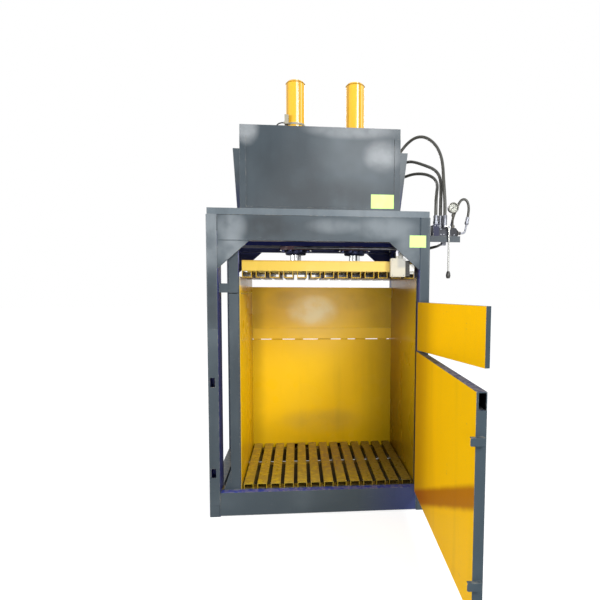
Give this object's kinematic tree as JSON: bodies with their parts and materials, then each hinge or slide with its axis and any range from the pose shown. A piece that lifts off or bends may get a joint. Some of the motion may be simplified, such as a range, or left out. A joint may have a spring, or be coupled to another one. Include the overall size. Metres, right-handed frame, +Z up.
{
  "type": "recycling baler",
  "caption": "Upright recycling baler with twin hydraulic cylinders over a slatted chamber, two side-hung front doors standing open, a hand lever valve and a deck-mounted power unit.",
  "frame": {"origin": "on the floor under the middle of the frame", "axes": "+Z up, +X to the right seen from the front, +Y from the front to the rear"},
  "size_m": [1.7269, 2.4757, 2.95],
  "materials": {
    "grey_paint": "semi-gloss slate grey paint, chalked and scuffed",
    "yellow_paint": "semi-gloss yellow paint, scratched where material rubs",
    "bare_steel": "bare rolled steel, rubbed",
    "machined_steel": "machined, lightly oiled",
    "chromed_rod": "hard chromed and ground",
    "piston_iron": "machined, oiled",
    "zinc_steel": "zinc plated, dulled",
    "grey_plastic": "moulded, matt",
    "cream_plastic": "moulded, slightly dusty",
    "black_plastic": "moulded, satin",
    "motor_iron": "painted casting, satin",
    "pump_aluminium": "cast and machined",
    "valve_iron": "phosphated casting with dust",
    "gauge_steel": "dark case, satin",
    "needle_black": "black lacquer",
    "gauge_glass": "clear, flat",
    "hose_rubber": "matt, slightly dusty"
  },
  "bodies": {
    "base": {"front_left_post": "grey_paint", "rear_left_post": "grey_paint", "rear_right_post": "grey_paint", "front_right_post": "grey_paint", "latch_strip": "bare_steel", "front_sill": "grey_paint", "rear_sill": "grey_paint", "left_base_rail": "grey_paint", "right_base_rail": "grey_paint", "floor_grid": "yellow_paint", "front_header": "grey_paint", "rear_header": "grey_paint", "left_top_rail": "grey_paint", "right_top_rail": "grey_paint", "cylinder_carrier": "grey_paint", "deck_tray": "grey_paint", "inner_column": "grey_paint", "left_wall": "yellow_paint", "right_wall": "yellow_paint", "lower_back_plate": "yellow_paint", "upper_back_plate": "yellow_paint", "left_barrel": "yellow_paint", "right_barrel": "yellow_paint", "cylinder_glands": "machined_steel", "gland_bolts": "zinc_steel", "cylinder_sensor": "grey_plastic", "front_guard": "grey_paint", "rear_guard": "grey_paint", "oil_tank": "grey_paint", "tank_fittings": "zinc_steel", "motor_housing": "motor_iron", "hydraulic_pump": "pump_aluminium", "valve_bracket": "grey_paint", "valve_body": "valve_iron", "valve_fittings": "zinc_steel", "gauge_case": "gauge_steel", "gauge_glass": "gauge_glass", "switch_box": "cream_plastic", "switch_bracket": "zinc_steel", "limit_switch": "black_plastic", "rod_side_pipe": "zinc_steel", "cap_side_pipe": "zinc_steel", "hose_cap_side": "hose_rubber", "hose_pressure": "hose_rubber", "hose_return": "hose_rubber", "hose_rod_side": "hose_rubber", "hose_gauge": "hose_rubber", "sensor_cable": "hose_rubber"},
    "platen": {"platen_slats": "yellow_paint", "platen_frame": "yellow_paint", "left_rod": "chromed_rod", "right_rod": "chromed_rod", "left_piston": "piston_iron", "right_piston": "piston_iron"},
    "lower_door": {"lower_door": "yellow_paint"},
    "upper_door": {"upper_door": "yellow_paint"},
    "lever": {"control_lever": "machined_steel", "lever_knob": "black_plastic"},
    "gauge_needle": {"gauge_needle": "needle_black"},
    "motor_shaft": {"motor_shaft": "machined_steel"}
  },
  "joints": [
    {"name": "platen_slide", "type": "slide", "parent": "base", "child": "platen", "axis": [0, 0, 1], "range_m": [-0.95, 0]},
    {"name": "lower_door_hinge", "type": "hinge", "parent": "base", "child": "lower_door", "pos_m": [0.65, -0.582, 0.6], "axis": [0, 0, 1], "range_deg": [-87, 25]},
    {"name": "upper_door_hinge", "type": "hinge", "parent": "base", "child": "upper_door", "pos_m": [0.65, -0.582, 1.24], "axis": [0, 0, 1], "range_deg": [-101.5, 13]},
    {"name": "lever_pivot", "type": "hinge", "parent": "base", "child": "lever", "pos_m": [0.852, -0.5, 1.893], "axis": [0, 1, 0], "range_deg": [-20, 20], "stiffness_Nm_per_rad": 3},
    {"name": "needle_turn", "type": "hinge", "parent": "base", "child": "gauge_needle", "pos_m": [0.89, -0.464, 2.026], "axis": [0, 1, 0], "range_deg": [0, 270], "stiffness_Nm_per_rad": 0.002},
    {"name": "motor_spin", "type": "hinge", "parent": "base", "child": "motor_shaft", "pos_m": [0.08, 0.31, 2.5], "axis": [0, 0, 1], "continuous": true}
  ]
}
